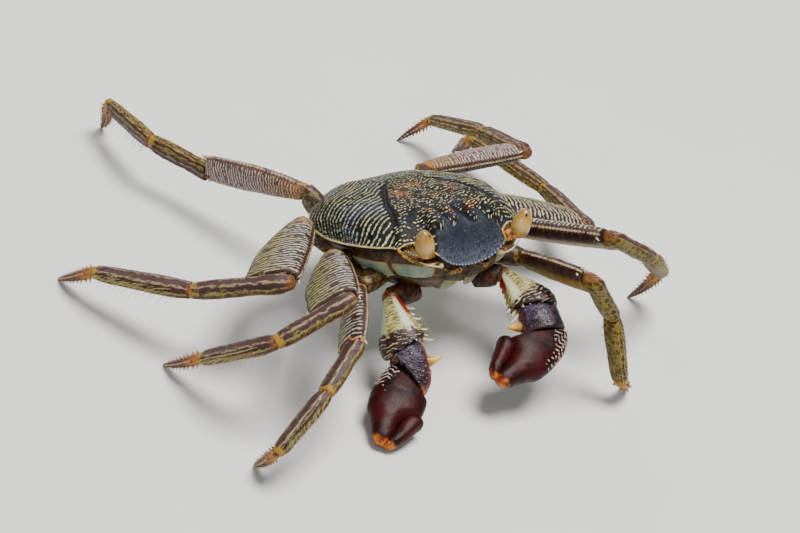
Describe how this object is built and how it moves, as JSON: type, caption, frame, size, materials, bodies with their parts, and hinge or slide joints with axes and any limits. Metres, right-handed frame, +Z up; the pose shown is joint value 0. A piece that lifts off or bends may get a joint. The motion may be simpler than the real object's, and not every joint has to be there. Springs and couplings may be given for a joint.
{
  "type": "shore crab model",
  "caption": "Life-size lightfoot shore crab standing on spread walking legs, broad domed carapace, stalked eyes and short spoon-tipped claws.",
  "frame": {"origin": "middle of the bounding box's footprint, on the floor plane where the toe tips rest", "axes": "+X the way the head faces, +Y the crab's left, +Z up"},
  "size_m": [0.1776, 0.1814, 0.0518],
  "materials": {
    "carapace": "hard shell, near-black green with fine pale granular lines, satin wet sheen",
    "underside": "smooth pale turquoise and cream shell with brown seams, satin",
    "leg": "olive and purple-brown shell with pale scale-like lines, satin",
    "toe": "golden orange to dark red-brown spiny tips, satin",
    "arm": "pale turquoise and cream shell, dark banded toward the wrist, satin",
    "hand": "smooth dark maroon shell with small white granules, glossy",
    "eyestalk": "golden stalk, satin",
    "eye": "cream-orange wet eye, high gloss"
  },
  "bodies": {
    "root": {"carapace": "carapace", "trunk": "underside", "abdomen": "underside", "mouth_plate_right": "underside", "eye_right": "eye", "eyestalk_right": "eyestalk", "mouth_plate_left": "underside", "eye_left": "eye", "eyestalk_left": "eyestalk", "leg_right_1_base": "leg", "leg_right_1_merus": "leg", "leg_right_1_carpus": "leg", "leg_right_1_propodus": "leg", "leg_right_1_dactylus": "toe", "leg_right_2_base": "leg", "leg_right_2_merus": "leg", "leg_right_2_carpus": "leg", "leg_right_2_propodus": "leg", "leg_right_2_dactylus": "toe", "leg_right_3_base": "leg", "leg_right_3_merus": "leg", "leg_right_3_carpus": "leg", "leg_right_3_propodus": "leg", "leg_right_3_dactylus": "toe", "leg_right_4_base": "leg", "leg_right_4_merus": "leg", "leg_right_4_carpus": "leg", "leg_right_4_propodus": "leg", "leg_right_4_dactylus": "toe", "leg_left_1_base": "leg", "leg_left_1_merus": "leg", "leg_left_1_carpus": "leg", "leg_left_1_propodus": "leg", "leg_left_1_dactylus": "toe", "leg_left_2_base": "leg", "leg_left_2_merus": "leg", "leg_left_2_carpus": "leg", "leg_left_2_propodus": "leg", "leg_left_2_dactylus": "toe", "leg_left_3_base": "leg", "leg_left_3_merus": "leg", "leg_left_3_carpus": "leg", "leg_left_3_propodus": "leg", "leg_left_3_dactylus": "toe", "leg_left_4_base": "leg", "leg_left_4_merus": "leg", "leg_left_4_carpus": "leg", "leg_left_4_propodus": "leg", "leg_left_4_dactylus": "toe", "claw_right_base": "arm", "claw_right_arm": "arm", "claw_right_wrist": "hand", "claw_right_palm": "hand", "claw_right_finger": "hand", "claw_left_base": "arm", "claw_left_arm": "arm", "claw_left_wrist": "hand", "claw_left_palm": "hand", "claw_left_finger": "hand"}
  },
  "joints": []
}
